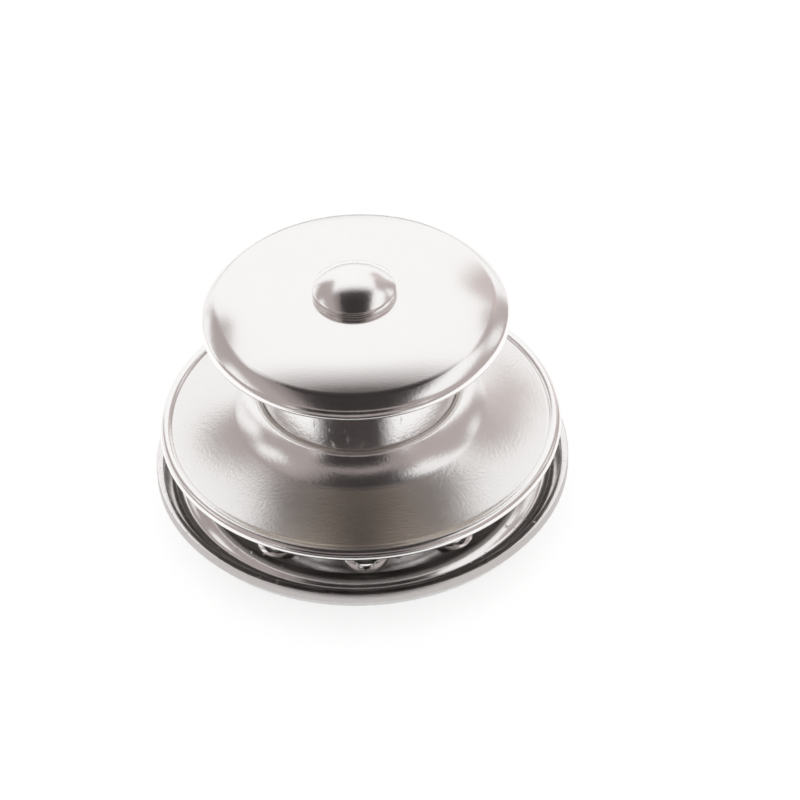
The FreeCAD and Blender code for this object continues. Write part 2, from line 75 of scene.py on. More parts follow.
def bow(start, end, sag, steps=10):
    """Points of an arc after start, up to end; a positive sag stands out to the right of the way."""
    run = end[0] - start[0]
    rise = end[1] - start[1]
    chord = math.hypot(run, rise)
    depth = abs(sag)
    radius = (chord * chord / 4 + depth * depth) / (2 * depth)
    side = 1 if sag > 0 else -1
    left = (-rise / chord, run / chord)
    reach = side * (radius - depth)
    centre = ((start[0] + end[0]) / 2 + left[0] * reach, (start[1] + end[1]) / 2 + left[1] * reach)
    first = math.atan2(start[1] - centre[1], start[0] - centre[0])
    turn = 2 * math.asin(min(1.0, chord / 2 / radius)) * side
    points = []
    for step in range(1, steps + 1):
        angle = first + turn * step / steps
        points.append((centre[0] + radius * math.cos(angle), centre[1] + radius * math.sin(angle)))
    return points


def quarter(start, end, steps=10):
    """A quarter circle that stands out to the right of the way."""
    chord = math.hypot(end[0] - start[0], end[1] - start[1])
    return bow(start, end, chord / math.sqrt(2) * (1 - math.cos(math.pi / 4)), steps)


# Modelling


def only(piece):
    bpy.ops.object.select_all(action="DESELECT")
    piece.select_set(True)
    bpy.context.view_layer.objects.active = piece


def editing(piece):
    only(piece)
    bpy.ops.object.mode_set(mode="EDIT")


def done_editing():
    bpy.ops.object.mode_set(mode="OBJECT")


def face_outwards(piece):
    editing(piece)
    bpy.ops.mesh.select_all(action="SELECT")
    bpy.ops.mesh.remove_doubles(threshold=1e-7)
    bpy.ops.mesh.normals_make_consistent(inside=False)
    done_editing()


def add_ring(radius, height, around):
    bpy.ops.object.select_all(action="DESELECT")
    bpy.ops.mesh.primitive_circle_add(
        vertices=around, radius=radius * MM, fill_type="NOTHING", location=(0, 0, height * MM)
    )
    piece = bpy.context.object
    bpy.ops.object.transform_apply(location=True, rotation=True, scale=True)
    return piece


def turned(name, outline, around=AROUND, poles=False):
    """A piece of revolution: a ring drawn out step by step along its outline, then closed."""
    piece = add_ring(outline[0][0], outline[0][1], around)
    piece.name = name
    bpy.ops.object.mode_set(mode="EDIT")
    bpy.ops.mesh.select_all(action="SELECT")
    last = outline[0]
    for point in outline[1:]:
        bpy.ops.mesh.extrude_region_move(
            TRANSFORM_OT_translate={"value": (0, 0, (point[1] - last[1]) * MM)}
        )
        grow = point[0] / last[0]
        bpy.ops.transform.resize(value=(grow, grow, 1))
        last = point
    bpy.ops.mesh.select_all(action="DESELECT")
    bpy.ops.mesh.select_non_manifold()
    if poles:
        bpy.ops.mesh.edge_face_add()
    else:
        bpy.ops.mesh.bridge_edge_loops()
    done_editing()
    face_outwards(piece)
    return piece


def soften(piece, width, angle=28.0, segments=2):
    """Breaks the sharp edges by a small round and shades the piece smooth."""
    only(piece)
    bevel = piece.modifiers.new("edge", "BEVEL")
    bevel.width = width * MM
    bevel.segments = segments
    bevel.limit_method = "ANGLE"
    bevel.angle_limit = math.radians(angle)
    bpy.ops.object.modifier_apply(modifier=bevel.name)
    bpy.ops.object.shade_smooth_by_angle(angle=math.radians(50))


def cut_by(piece, tool, operation="DIFFERENCE"):
    only(piece)
    cut = piece.modifiers.new("cut", "BOOLEAN")
    cut.operation = operation
    cut.solver = "EXACT"
    cut.object = tool
    bpy.ops.object.modifier_apply(modifier=cut.name)
    bpy.data.objects.remove(tool)


def join(pieces, name):
    bpy.ops.object.select_all(action="DESELECT")
    for piece in pieces:
        piece.select_set(True)
    bpy.context.view_layer.objects.active = pieces[0]
    bpy.ops.object.join()
    joined = bpy.context.object
    joined.name = name
    return joined


def spun_copies(piece, count, name):
    """The piece and its copies spread evenly round the axis, as one object."""
    copies = [piece]
    for index in range(1, count):
        copy = piece.copy()
        copy.data = piece.data.copy()
        bpy.context.scene.collection.objects.link(copy)
        copy.data.transform(Matrix.Rotation(2 * math.pi * index / count, 4, "Z"))
        copies.append(copy)
    return join(copies, name)


def seat(piece, body, node, slot, *materials):
    """Gives the piece its materials and hands it to the body that carries it."""
    for material in materials:
        piece.data.materials.append(material)
    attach(piece, body)
    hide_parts(node)


def paint_where(piece, index, test):
    """Gives material number index to the faces whose middle passes the test."""
    for face in piece.data.polygons:
        centre = face.center / MM
        if test(math.hypot(centre.x, centre.y), centre.z, face.normal):
            face.material_index = index


# Shader parts


def new_group(name, inputs, outputs):
    group = bpy.data.node_groups.new(name, "ShaderNodeTree")
    for label, value in inputs:
        socket = group.interface.new_socket(label, in_out="INPUT", socket_type="NodeSocketFloat")
        socket.default_value = value
    for label in outputs:
        group.interface.new_socket(label, in_out="OUTPUT", socket_type="NodeSocketFloat")
    entry = group.nodes.new("NodeGroupInput")
    leave = group.nodes.new("NodeGroupOutput")
    return group, entry, leave


def add_node(tree, kind, **settings):
    node = tree.nodes.new(kind)
    for name, value in settings.items():
        setattr(node, name, value)
    return node


def wire(tree, source, target):
    tree.links.new(source, target)


def arithmetic(tree, operation, first, second):
    node = add_node(tree, "ShaderNodeMath", operation=operation)
    for socket, value in zip(node.inputs, (first, second)):
        if isinstance(value, (int, float)):
            socket.default_value = value
        else:
            wire(tree, value, socket)
    return node.outputs[0]


def scaled_place(tree, amount):
    """Object coordinates in millimetres, times an amount."""
    place = add_node(tree, "ShaderNodeTexCoord").outputs["Object"]
    scale = add_node(tree, "ShaderNodeVectorMath", operation="SCALE")
    wire(tree, place, scale.inputs[0])
    if isinstance(amount, (int, float)):
        scale.inputs["Scale"].default_value = amount / MM
    else:
        wire(tree, arithmetic(tree, "MULTIPLY", amount, 1 / MM), scale.inputs["Scale"])
    return scale.outputs[0]


def noise(tree, place, scale, detail=2.0, roughness=0.5):
    node = add_node(tree, "ShaderNodeTexNoise")
    node.inputs["Scale"].default_value = scale
    node.inputs["Detail"].default_value = detail
    node.inputs["Roughness"].default_value = roughness
    wire(tree, place, node.inputs["Vector"])
    return node.outputs["Fac"]


def satin_grain_group():
    """Fine blasted grain, as on plated pressings: small speckles over slow patches."""
    tree, entry, leave = new_group("satin grain", [("Grains per mm", 9.0)], ["Speckle", "Height"])
    place = scaled_place(tree, entry.outputs["Grains per mm"])
    fine = noise(tree, place, 1.0, 2.0, 0.6)
    slow = noise(tree, scaled_place(tree, 1.0), 0.55, 3.0, 0.55)
    wire(tree, fine, leave.inputs["Speckle"])
    wire(tree, arithmetic(tree, "ADD", fine, arithmetic(tree, "MULTIPLY", slow, 0.6)), leave.inputs["Height"])
    return tree


def turning_marks_group():
    """Fine rings left by the lathe: noise that changes with radius and height only."""
    tree, entry, leave = new_group("turning marks", [("Rings per mm", 14.0)], ["Ring"])
    split = add_node(tree, "ShaderNodeSeparateXYZ")
    wire(tree, scaled_place(tree, 1.0), split.inputs[0])
    square = arithmetic(tree, "MULTIPLY", split.outputs["X"], split.outputs["X"])
    other = arithmetic(tree, "MULTIPLY", split.outputs["Y"], split.outputs["Y"])
    radius = arithmetic(tree, "SQRT", arithmetic(tree, "ADD", square, other), 0.0)
    ring = add_node(tree, "ShaderNodeCombineXYZ")
    wire(tree, arithmetic(tree, "MULTIPLY", radius, entry.outputs["Rings per mm"]), ring.inputs["X"])
    height = arithmetic(tree, "MULTIPLY", split.outputs["Z"], entry.outputs["Rings per mm"])
    wire(tree, height, ring.inputs["Y"])
    wire(tree, noise(tree, ring.outputs[0], 1.0, 2.0, 0.6), leave.inputs["Ring"])
    return tree


def handling_marks_group():
    """Dents and rubs from handling: a few soft patches, and small nicks that run up and down."""
    tree, entry, leave = new_group("handling marks", [("Nicks", 0.5), ("Stretch", 0.3)], ["Nick", "Rub"])
    split = add_node(tree, "ShaderNodeSeparateXYZ")
    wire(tree, scaled_place(tree, 1.0), split.inputs[0])
    drawn = add_node(tree, "ShaderNodeCombineXYZ")
    wire(tree, split.outputs["X"], drawn.inputs["X"])
    wire(tree, split.outputs["Y"], drawn.inputs["Y"])
    wire(tree, arithmetic(tree, "MULTIPLY", split.outputs["Z"], entry.outputs["Stretch"]), drawn.inputs["Z"])
    streak = noise(tree, drawn.outputs[0], 2.6, 4.0, 0.62)
    limit = arithmetic(tree, "SUBTRACT", 1.0, arithmetic(tree, "MULTIPLY", entry.outputs["Nicks"], 0.7))
    over = arithmetic(tree, "MAXIMUM", arithmetic(tree, "SUBTRACT", streak, limit), 0.0)
    nick = arithmetic(tree, "MINIMUM", arithmetic(tree, "MULTIPLY", over, 9.0), 1.0)
    wire(tree, nick, leave.inputs["Nick"])
    wire(tree, noise(tree, scaled_place(tree, 1.0), 1.1, 4.0, 0.6), leave.inputs["Rub"])
    return tree


SATIN = satin_grain_group()
TURNING = turning_marks_group()
HANDLING = handling_marks_group()


def use_group(tree, group, **values):
    node = add_node(tree, "ShaderNodeGroup", node_tree=group)
    for name, value in values.items():
        node.inputs[name.replace("_", " ")].default_value = value
    return node


def between(tree, mask, least, most):
    """A value that runs from least to most as the mask runs from 0 to 1."""
    node = add_node(tree, "ShaderNodeMapRange")
    node.inputs["To Min"].default_value = least
    node.inputs["To Max"].default_value = most
    wire(tree, mask, node.inputs["Value"])
    return node.outputs["Result"]


def two_tone(tree, mask, dark, light):
    node = add_node(tree, "ShaderNodeMix", data_type="RGBA")
    node.inputs["A"].default_value = (*dark, 1)
    node.inputs["B"].default_value = (*light, 1)
    wire(tree, mask, node.inputs["Factor"])
    return node.outputs["Result"]


def metal(name, dark, light, least_rough, most_rough, bump, grain=None, marks=None, nicks=None):
    """A plated metal: two close tones, a roughness range and the relief of its grain, marks and nicks."""
    material = bpy.data.materials.new(name)
    material.use_nodes = True
    tree = material.node_tree
    shader = tree.nodes["Principled BSDF"]
    shader.inputs["Metallic"].default_value = 1.0
    handling = use_group(tree, HANDLING, Nicks=nicks or 0.0)
    mask = handling.outputs["Rub"]
    height = arithmetic(tree, "MULTIPLY", mask, 0.5)
    if grain:
        satin = use_group(tree, SATIN, Grains_per_mm=grain)
        mask = arithmetic(tree, "MULTIPLY", arithmetic(tree, "ADD", satin.outputs["Speckle"], mask), 0.5)
        height = arithmetic(tree, "ADD", height, satin.outputs["Height"])
    if marks:
        turning = use_group(tree, TURNING, Rings_per_mm=marks)
        height = arithmetic(tree, "ADD", height, turning.outputs["Ring"])
    if nicks:
        nick = handling.outputs["Nick"]
        height = arithmetic(tree, "SUBTRACT", height, arithmetic(tree, "MULTIPLY", nick, 2.0))
        mask = arithmetic(tree, "SUBTRACT", mask, arithmetic(tree, "MULTIPLY", nick, 0.3))
    wire(tree, two_tone(tree, mask, dark, light), shader.inputs["Base Color"])
    wire(tree, between(tree, mask, least_rough, most_rough), shader.inputs["Roughness"])
    relief = add_node(tree, "ShaderNodeBump")
    relief.inputs["Strength"].default_value = 1.0
    relief.inputs["Distance"].default_value = bump * MM
    wire(tree, height, relief.inputs["Height"])
    wire(tree, relief.outputs["Normal"], shader.inputs["Normal"])
    return material


def make_materials():
    return {
        "dome": metal("brushed nickel", (0.91, 0.89, 0.88), (0.96, 0.945, 0.935), 0.10, 0.18, 0.0014,
                      grain=9.0),
        "satin": metal("satin nickel", (0.86, 0.84, 0.83), (0.94, 0.925, 0.915), 0.17, 0.28, 0.006,
                       grain=7.0),
        "bright": metal("bright nickel", (0.92, 0.90, 0.89), (0.97, 0.955, 0.95), 0.14, 0.24, 0.003,
                        grain=7.0, nicks=0.3),
        "neck": metal("bright nickel neck", (0.86, 0.84, 0.83), (0.95, 0.935, 0.93), 0.12, 0.22, 0.007,
                      grain=6.0, nicks=0.56),
        "washer": metal("washer nickel", (0.80, 0.78, 0.77), (0.92, 0.90, 0.89), 0.08, 0.20, 0.012,
                        nicks=0.5),
        # Darker tone for the washer's rim wall: painted shade on its cut edge.
        "edge": metal("cut edge darkened as painted shade", (0.48, 0.45, 0.44), (0.62, 0.59, 0.58), 0.25, 0.45, 0.010, grain=6.0),
        # Dark nickel for the undersides of the knob and the flange: painted shade under the parts above.
        "inside": metal("painted shade on undersides", (0.20, 0.185, 0.18), (0.32, 0.30, 0.29), 0.30, 0.45, 0.006,
                        grain=6.0),
        "brass": metal("plated brass", (0.66, 0.60, 0.50), (0.78, 0.73, 0.63), 0.18, 0.30, 0.006, marks=16.0),
        "steel": metal("ball steel", (0.70, 0.70, 0.70), (0.78, 0.78, 0.78), 0.06, 0.12, 0.001, nicks=0.2),
        "wire": metal("spring wire", (0.42, 0.42, 0.43), (0.55, 0.55, 0.56), 0.22, 0.36, 0.004, grain=8.0),
    }


# Knob

KNOB_SHEET = 0.4
KNOB_CROWN = 0.73
RIM_SIDE = 0.5
RIM_WIDTH = 0.75
RIM_RISE = 0.37
RIM_UNDER = 0.35
RIM_INSET = 0.45
RIM_TURN = math.radians(50)
CURL_THICKNESS = 0.35
CURL_WIDTH = 0.75
HEAD_RADIUS = high("pull_pin").x
SEAT_MARGIN = 0.25
RIM_BOW = 0.058
PLATE_THICKNESS = 0.3
PIN_RADIUS = 1.0
TENON_RADIUS = 0.75
RIVET_RADIUS = 1.15
RIVET_HEIGHT = 0.3
HEAD_DOME = 0.7
HEAD_EDGE = 0.06
GROOVE_DEPTH = 0.18
GROOVE_START = 0.12
GROOVE_FOOT = 0.20
GROOVE_TOP = 0.24
DOME_EDGE = 0.03
NEAR_AXIS = 0.01


def knob_cap():
    """Pressed cap with a shallow crown, a rolled rim and an edge curled under."""
    radius = high("knob_cap").x
    foot = low("knob_cap").z
    crest = high("knob_cap").z
    equator = foot + RIM_UNDER
    hole = PIN_RADIUS + PRESS_GAP
    seat_radius = HEAD_RADIUS + SEAT_MARGIN
    shoulder = (radius - RIM_SIDE + RIM_SIDE * math.cos(RIM_TURN), equator + RIM_SIDE * math.sin(RIM_TURN))
    rim_top = (radius - RIM_WIDTH, shoulder[1] + RIM_RISE)
    room = radius - RIM_UNDER - RIM_INSET
    plate_foot = foot + CURL_THICKNESS
    outline = [(hole, crest - KNOB_SHEET), (seat_radius, crest - KNOB_SHEET)]
    outline += bow(outline[-1], (room, shoulder[1]), -KNOB_CROWN / 4, 8)
    outline += [(room, plate_foot), (radius - RIM_UNDER - CURL_WIDTH, plate_foot)]
    outline += [(radius - RIM_UNDER - CURL_WIDTH, foot), (radius - RIM_UNDER, foot)]
    outline += quarter(outline[-1], (radius, equator), 14)
    outline += bow(outline[-1], shoulder, RIM_SIDE * (1 - math.cos(RIM_TURN / 2)), 14)
    outline += bow(outline[-1], rim_top, RIM_RISE * RIM_BOW, 8)
    outline += bow(outline[-1], (seat_radius, crest), KNOB_CROWN / 4, 24)
    outline += [(hole, crest)]
    cap = turned("knob_cap_shell", outline)
    soften(cap, 0.03)
    return cap


def knob_plate():
    """Disc inside the curl, with the hub under the pin's head."""
    hole = PIN_RADIUS + PRESS_GAP
    edge = high("knob_back_plate").x
    foot = low("knob_back_plate").z
    top = foot + PLATE_THICKNESS
    crest = high("knob_back_plate").z
    outline = [(hole, foot), (edge, foot), (edge, top)]
    outline += [(HEAD_RADIUS, top), (HEAD_RADIUS, crest), (hole, crest)]
    plate = turned("knob_plate", outline, 128)
    soften(plate, 0.04)
    return plate


def pin():
    """Domed head over a grooved collar, the shank, and the end riveted over."""
    crest = high("knob_cap").z
    top = high("pull_pin").z
    foot = low("pull_pin").z
    dome_foot = top - HEAD_DOME
    groove_radius = HEAD_RADIUS - GROOVE_DEPTH
    shank_foot = high("locking_sleeve").z + RUNNING_GAP
    rivet_top = foot + RIVET_HEIGHT
    outline = [(NEAR_AXIS, foot)]
    outline += bow(outline[-1], (RIVET_RADIUS, rivet_top), 0.1, 6)
    outline += [(TENON_RADIUS, rivet_top), (TENON_RADIUS, shank_foot)]
    outline += [(PIN_RADIUS, shank_foot), (PIN_RADIUS, crest), (HEAD_RADIUS - HEAD_EDGE, crest)]
    outline += quarter(outline[-1], (HEAD_RADIUS, crest + HEAD_EDGE), 4)
    outline += [(HEAD_RADIUS, crest + GROOVE_START), (groove_radius, crest + GROOVE_FOOT)]
    outline += [(groove_radius, crest + GROOVE_TOP), (HEAD_RADIUS - DOME_EDGE, dome_foot - DOME_EDGE)]
    outline += quarter(outline[-1], (HEAD_RADIUS, dome_foot), 4)
    outline += bow(outline[-1], (NEAR_AXIS, top), 0.2, 28)
    piece = turned("pin_with_domed_head", outline, 192, poles=True)
    soften(piece, 0.02, angle=35)
    return piece


# Neck, stem and flange


def wound(name, foot, top, turns, steps):
    """Winds the active closed profile up round the axis and closes its ends."""
    coil = bpy.context.object
    coil.name = name
    winding = coil.modifiers.new("winding", "SCREW")
    winding.angle = 2 * math.pi * turns
    winding.screw_offset = (top - foot) * MM
    winding.steps = int(turns * steps)
    winding.render_steps = winding.steps
    winding.use_merge_vertices = False
    bpy.ops.object.modifier_apply(modifier=winding.name)
    editing(coil)
    bpy.ops.mesh.select_all(action="DESELECT")
    bpy.ops.mesh.select_non_manifold()
    bpy.ops.mesh.edge_face_add()
    done_editing()
    face_outwards(coil)
    return coil


def add_profile(corners, radius, size_out, size_up, level):
    """A closed profile that stands on the plane through the axis, with its first corner outwards."""
    bpy.ops.object.select_all(action="DESELECT")
    bpy.ops.mesh.primitive_circle_add(
        vertices=corners, radius=MM, fill_type="NOTHING", location=(radius * MM, 0, level * MM),
        rotation=(math.pi / 2, math.pi / 2, 0)
    )
    profile = bpy.context.object
    profile.scale = (size_up, size_out, 1)
    bpy.ops.object.transform_apply(location=True, rotation=True, scale=True)
    return profile


def helix_thread(name, root, depth, pitch, foot, top):
    """Vee thread as a ridge wound round the stem, a little narrower than its pitch."""
    add_profile(3, root + depth / 3, depth * 2 / 3, pitch / math.sqrt(3) * THREAD_FILL, foot)
    thread = wound(name, foot, top, (top - foot) / pitch, 64)
    only(thread)
    bpy.ops.object.shade_smooth_by_angle(angle=math.radians(30))
    return thread


ROOF = 1.05
THREAD_PITCH = 0.75
THREAD_DEPTH = 0.2
THREAD_FILL = 0.96
THREAD_START = 0.55
THREAD_STOP = 0.75
STEM_CHAMFER = 0.25
RELIEF_FOOT = 0.5
RELIEF_TOP = 0.3
NECK_EDGE = 0.25
SLEEVE_STEP = 0.25
CAVITY_SHOULDER = 6.95
LIP_RADIUS = 4.2607
LIP_THICKNESS = 0.3
CAGE_SEAT_RADIUS = 4.5107
CAGE_SEAT = 1.8


def housing():
    """Neck and stem, bored from below, with the thread wound on the stem."""
    stem = high("lock_housing").x
    top = high("lock_housing").z
    neck = NECK_RADIUS
    shoulder = SHOULDER_HEIGHT
    bore_low = high("locking_sleeve").x + RUNNING_GAP
    bore_high = bore_low - SLEEVE_STEP
    lip = LIP_RADIUS
    seat_radius = CAGE_SEAT_RADIUS
    hole = PIN_RADIUS + RUNNING_GAP
    roof = top - ROOF
    step = CAVITY_SHOULDER
    root = stem - THREAD_DEPTH
    outline = [(lip, 0), (root - STEM_CHAMFER, 0), (root, STEM_CHAMFER)]
    outline += [(root, shoulder - RELIEF_FOOT), (stem, shoulder - RELIEF_TOP)]
    outline += [(stem, shoulder), (neck, shoulder), (neck, top - NECK_EDGE)]
    outline += quarter(outline[-1], (neck - NECK_EDGE, top), 6)
    outline += [(hole, top), (hole, roof), (bore_high, roof), (bore_high, step), (bore_low, step)]
    outline += [(bore_low, CAGE_SEAT), (seat_radius, CAGE_SEAT)]
    outline += [(seat_radius, LIP_THICKNESS), (lip, LIP_THICKNESS)]
    body = turned("threaded_housing", outline)
    soften(body, 0.04)
    thread_top = shoulder - THREAD_STOP
    thread = helix_thread("stem_thread", root, THREAD_DEPTH, THREAD_PITCH, THREAD_START, thread_top)
    return join([body, thread], "threaded_housing")


FLANGE_SHEET = 0.5
BEAD_RADIUS = 0.32
HEM_WIDTH = 1.1
CREASE_TURN = math.radians(30)
COLLAR_WALL = 0.24
COLLAR_HEIGHT = 0.14
COLLAR_EDGE = 0.08
FLARE_UPPER_SAG = 0.122
FLARE_LOWER_SAG = 0.107
INNER_FLARE_SAG = 0.041
FLARE_RUN = 0.98
KNEE_RISE = 0.02
FLANGE_DROP = 1.1
SEAT_OVERHANG = 0.3
HEM_SHEET = 0.3
HEM_DROP = 0.8
KNEE_SHIFT = (0.42, 0.906)


def flange():
    """Bell-shaped pressing: rounded collar, trumpet flare, crease, bead and hem."""
    radius = high("flange_shell").x
    top = high("flange_shell").z
    equator = SHOULDER_HEIGHT - FLANGE_DROP
    foot = equator - BEAD_RADIUS
    centre = radius - BEAD_RADIUS
    neck = NECK_RADIUS + PRESS_GAP
    collar = neck + COLLAR_WALL
    stem = high("lock_housing").x
    shoulder = SHOULDER_HEIGHT
    knee = (stem + FLARE_RUN, shoulder + KNEE_RISE)
    inner_knee = (knee[0] - KNEE_SHIFT[0] * FLANGE_SHEET, knee[1] - KNEE_SHIFT[1] * FLANGE_SHEET)
    crease = (centre - BEAD_RADIUS * math.cos(CREASE_TURN), equator + BEAD_RADIUS * math.sin(CREASE_TURN))
    hem = centre - HEM_WIDTH
    hem_top = crease[1] - HEM_DROP * FLANGE_SHEET
    bead_sag = BEAD_RADIUS * (1 - math.cos((math.pi / 2 - CREASE_TURN) / 2))
    outline = [(neck, shoulder), (stem + SEAT_OVERHANG, shoulder)]
    outline += bow(outline[-1], inner_knee, INNER_FLARE_SAG, 4)
    outline += bow(outline[-1], (hem, hem_top), FLARE_LOWER_SAG, 10)
    outline += [(hem, hem_top - HEM_SHEET)]
    outline += bow(outline[-1], (centre, foot), 0.02, 3)
    outline += quarter(outline[-1], (radius, equator), 12)
    outline += quarter(outline[-1], (centre, equator + BEAD_RADIUS), 12)
    outline += bow(outline[-1], crease, bead_sag, 8)
    outline += bow(outline[-1], knee, -FLARE_LOWER_SAG, 22)
    outline += bow(outline[-1], (collar, top - COLLAR_HEIGHT), -FLARE_UPPER_SAG, 14)
    outline += [(collar, top - COLLAR_EDGE)]
    outline += quarter(outline[-1], (collar - COLLAR_EDGE, top), 5)
    outline += [(neck + COLLAR_EDGE, top)]
    outline += quarter(outline[-1], (neck, top - COLLAR_EDGE), 5)
    shell = turned("flange_bell", outline)
    soften(shell, 0.03)
    return shell


# Claw washer and ring nut

CLAWS = 10
CLAW_HOLE = 0.78
CLAW_BASE = 1.15
CLAW_HEIGHT = 0.45
CLAW_INSET = 0.5
CLAW_NOTCH = 0.9
CLAW_NOTCH_LIFT = 0.55
CLAW_EDGE = 0.12
LIP_SHEET = 0.16
WASHER_SHEET = 0.55
WASHER_CLEARANCE = 0.15
HALF_MARGIN = 0.05
PLATEAU_SLOPE = 0.6
TROUGH_WIDTH = 0.6
WASHER_WALL_RUN = 0.5
WASHER_WALL_DROP = 0.8
PLATEAU_RISE = 0.3
TROUGH_SAG = 0.12
NUT_CHAMFER = 0.2
NUT_SLOTS = 4


def washer():
    """Dished washer with a trough and ten pierced, notched lips."""
    radius = high("claw_washer").x
    top = high("claw_washer").z
    stem = high("lock_housing").x
    bore = stem + WASHER_CLEARANCE
    circle = bore + CLAW_BASE + CLAW_INSET
    plateau_radius = circle + CLAW_BASE + HALF_MARGIN
    trough_inner = plateau_radius + PLATEAU_SLOPE
    trough_outer = trough_inner + TROUGH_WIDTH
    shoulder = trough_outer + WASHER_WALL_RUN
    low_height = top - WASHER_WALL_DROP
    plateau = low_height + PLATEAU_RISE
    sheet = WASHER_SHEET
    outline = [(bore, plateau - sheet), (plateau_radius - 0.236 * sheet, plateau - sheet)]
    outline += [(trough_inner - 0.447 * sheet, low_height - 0.894 * sheet)]
    outline += bow(outline[-1], (trough_outer + 0.85 * sheet, low_height - 0.53 * sheet), 2 * TROUGH_SAG, 10)
    outline += [(shoulder + 0.545 * sheet, top - sheet), (radius, top - sheet), (radius, top)]
    outline += [(shoulder, top), (trough_outer, low_height)]
    outline += bow(outline[-1], (trough_inner, low_height), -TROUGH_SAG, 12)
    outline += bow(outline[-1], (plateau_radius, plateau), 0.03, 5)
    outline += [(circle, plateau), (bore, plateau)]
    disc = turned("dished_washer", outline)
    soften(disc, 0.05, angle=15)
    holes = spun_copies(claw_cutter(circle, plateau), CLAWS, "claw_cutters")
    cut_by(disc, holes)
    lips = spun_copies(claw_lip(circle, plateau), CLAWS, "claw_lips")
    only(disc)
    bpy.ops.object.shade_smooth_by_angle(angle=math.radians(35))
    only(lips)
    bpy.ops.object.shade_smooth_by_angle(angle=math.radians(50))
    return join([disc, lips], "dished_claw_washer")


def claw_cutter(circle, plateau):
    bpy.ops.object.select_all(action="DESELECT")
    bpy.ops.mesh.primitive_cylinder_add(
        vertices=64, radius=(CLAW_HOLE + CLAW_EDGE) * MM, depth=3 * MM,
        location=(0, -circle * MM, plateau * MM)
    )
    bpy.ops.object.transform_apply(location=True, rotation=True, scale=True)
    return bpy.context.object


def claw_lip(circle, plateau):
    """The collar pushed up by piercing, high at its two sides and low towards and away from the axis."""
    foot = plateau - WASHER_SHEET + PRESS_GAP
    wall = CLAW_HOLE + LIP_SHEET
    outline = [(CLAW_HOLE, foot), (wall, foot)]
    outline += [(wall, plateau - 0.06), (CLAW_BASE, plateau - 0.03), (CLAW_BASE, plateau)]
    outline += bow(outline[-1], (CLAW_HOLE + CLAW_EDGE, plateau + CLAW_HEIGHT), -0.07, 8)
    outline += bow(outline[-1], (CLAW_HOLE, plateau + CLAW_HEIGHT - 0.05), 0.03, 4)
    outline += [(CLAW_HOLE, plateau)]
    lip = turned("claw_lip", outline, 72)
    bpy.ops.object.select_all(action="DESELECT")
    bpy.ops.mesh.primitive_cylinder_add(
        vertices=96, radius=CLAW_NOTCH * MM, depth=4 * MM, rotation=(math.pi / 2, 0, 0),
        location=(0, 0, (plateau + CLAW_HEIGHT + CLAW_NOTCH_LIFT) * MM)
    )
    bpy.ops.object.transform_apply(location=True, rotation=True, scale=True)
    cut_by(lip, bpy.context.object)
    editing(lip)
    bpy.ops.mesh.select_all(action="SELECT")
    bpy.ops.transform.translate(value=(0, -circle * MM, 0))
    done_editing()
    return lip


def nut():
    """Round nut with four tool slots and a plain bore."""
    outer = high("ring_nut").x
    foot = low("ring_nut").z
    top = high("ring_nut").z
    stem = high("lock_housing").x
    root = stem + RUNNING_GAP
    outline = [(root, foot), (outer - NUT_CHAMFER, foot), (outer, foot + NUT_CHAMFER)]
    outline += [(outer, top), (root, top)]
    ring = turned("round_nut", outline)
    tool = slot_cutter(outer, foot)
    cut_by(ring, spun_copies(tool, NUT_SLOTS, "slot_cutters"))
    soften(ring, 0.05)
    return ring


def slot_cutter(outer, foot):
    bpy.ops.object.select_all(action="DESELECT")
    bpy.ops.mesh.primitive_cube_add(size=MM, location=((outer - 0.4) * MM, 0, foot * MM))
    cutter = bpy.context.object
    cutter.scale = (1.2, 1.2, 1.0)
    bpy.ops.object.transform_apply(location=True, rotation=True, scale=True)
    return cutter


# Lock inside the stem

SOCKET_RADIUS = 2.7
MOUTH_RADIUS = 3.0
CAGE_BORE = 3.0
CAGE_RADIUS = 3.32
CAGE_FLANGE = 0.5
BALL_CIRCLE = 3.0
BALL_HEIGHT = 3.75
BALL_HOLE = 0.7
BALLS = 6
SLEEVE_WALL = 0.2
WEB_THICKNESS = 0.7
WEB_HOLE = 0.8
CONE_SLOPE = 0.24
CONE_HEIGHT = 2.0
SLEEVE_SKIRT = 3.45
PIN_WASHER_HOLE = 0.77
WIRE_RADIUS = 0.175
SPRING_RADIUS = 2.6
SPRING_TURNS = 4.5


def guide():
    foot_radius = LIP_RADIUS - PRESS_GAP
    outer = high("stud_guide").x
    top = high("stud_guide").z
    step = LIP_THICKNESS
    outline = [(MOUTH_RADIUS, 0), (foot_radius, 0), (foot_radius, step), (outer, step)]
    outline += [(outer, top), (SOCKET_RADIUS, top), (SOCKET_RADIUS, step)]
    ring = turned("guide_ring", outline, AROUND_INSIDE)
    soften(ring, 0.04)
    return ring


def cage():
    outer = high("ball_cage").x
    foot = low("ball_cage").z
    top = high("ball_cage").z
    ledge = foot + CAGE_FLANGE
    outline = [(CAGE_BORE, foot), (outer, foot), (outer, ledge)]
    outline += [(CAGE_RADIUS, ledge), (CAGE_RADIUS, top), (CAGE_BORE, top)]
    body = turned("caged_tube", outline, AROUND_INSIDE)
    bpy.ops.object.select_all(action="DESELECT")
    bpy.ops.mesh.primitive_cylinder_add(
        vertices=48, radius=BALL_HOLE * MM, depth=2.4 * MM, rotation=(0, math.pi / 2, 0),
        location=(BALL_CIRCLE * MM, 0, BALL_HEIGHT * MM)
    )
    bpy.ops.object.transform_apply(location=True, rotation=True, scale=True)
    cut_by(body, spun_copies(bpy.context.object, BALLS, "ball_hole_cutters"))
    soften(body, 0.03)
    return body


